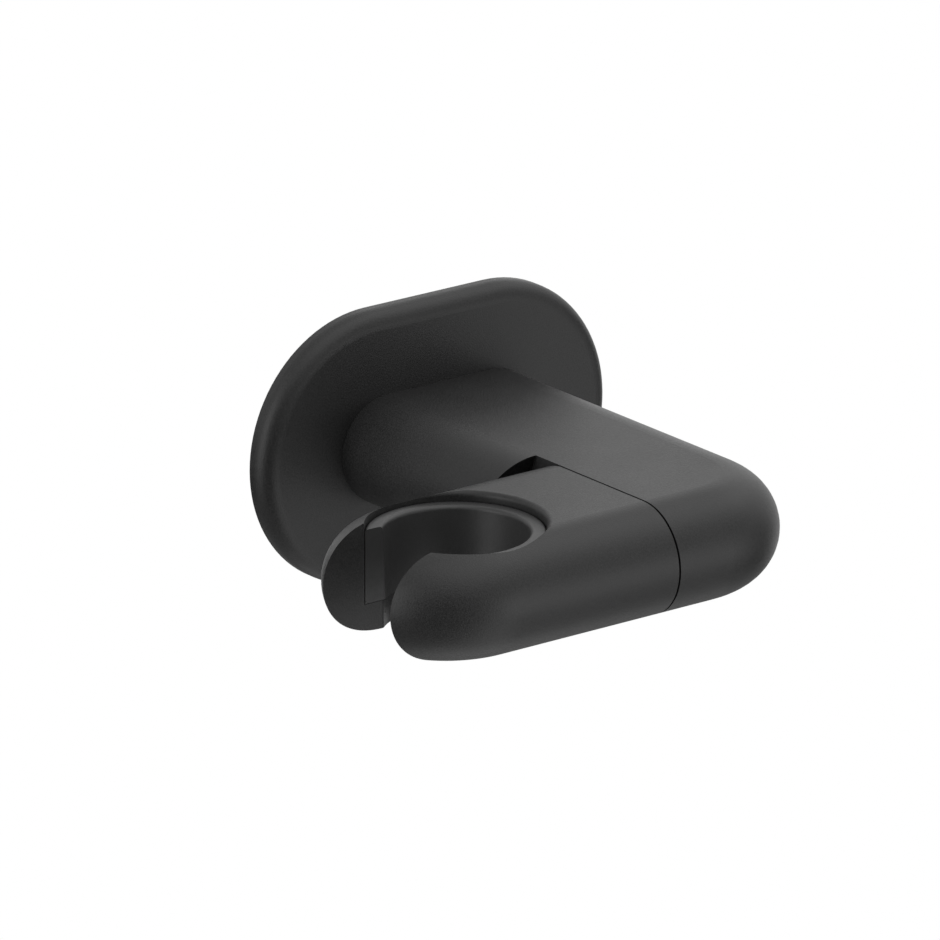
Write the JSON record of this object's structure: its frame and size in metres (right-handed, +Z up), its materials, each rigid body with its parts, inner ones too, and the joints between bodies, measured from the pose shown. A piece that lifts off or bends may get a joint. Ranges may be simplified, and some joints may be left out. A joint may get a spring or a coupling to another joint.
{
  "type": "hand shower holder",
  "caption": "Wall-mounted hand shower holder: rounded oblong wall plate, flat round-edged arm and a side cradle that swivels, with an open socket and slot for the hose.",
  "frame": {"origin": "middle of the wall plate, on the wall plane, midway between the two screw holes", "axes": "+Y into the wall, so the arm comes out along -Y; +Z up; the cradle is on the -X side"},
  "size_m": [0.1021, 0.0865, 0.05],
  "materials": {
    "black_coat": "satin black powder coat",
    "black_plastic": "satin black moulding",
    "plain_steel": "stainless, plain",
    "dark_steel": "blackened",
    "white_acetal": "natural, slightly waxy",
    "black_rubber": "matt"
  },
  "bodies": {
    "wall_mount": {"wall_body": "black_coat", "wall_bracket": "plain_steel", "set_screw": "dark_steel", "wall_seal": "black_rubber", "pivot_screw": "plain_steel", "disc_springs": "dark_steel", "friction_washer": "white_acetal", "joint_ring": "black_rubber"},
    "swivel_cradle": {"cradle": "black_coat", "socket_liner": "black_plastic", "pivot_bush": "white_acetal", "thrust_washer": "plain_steel"}
  },
  "joints": [
    {"name": "cradle_swivel", "type": "hinge", "parent": "wall_mount", "child": "swivel_cradle", "pos_m": [-0.01145, -0.0655, 0], "axis": [1, 0, 0], "continuous": true}
  ]
}
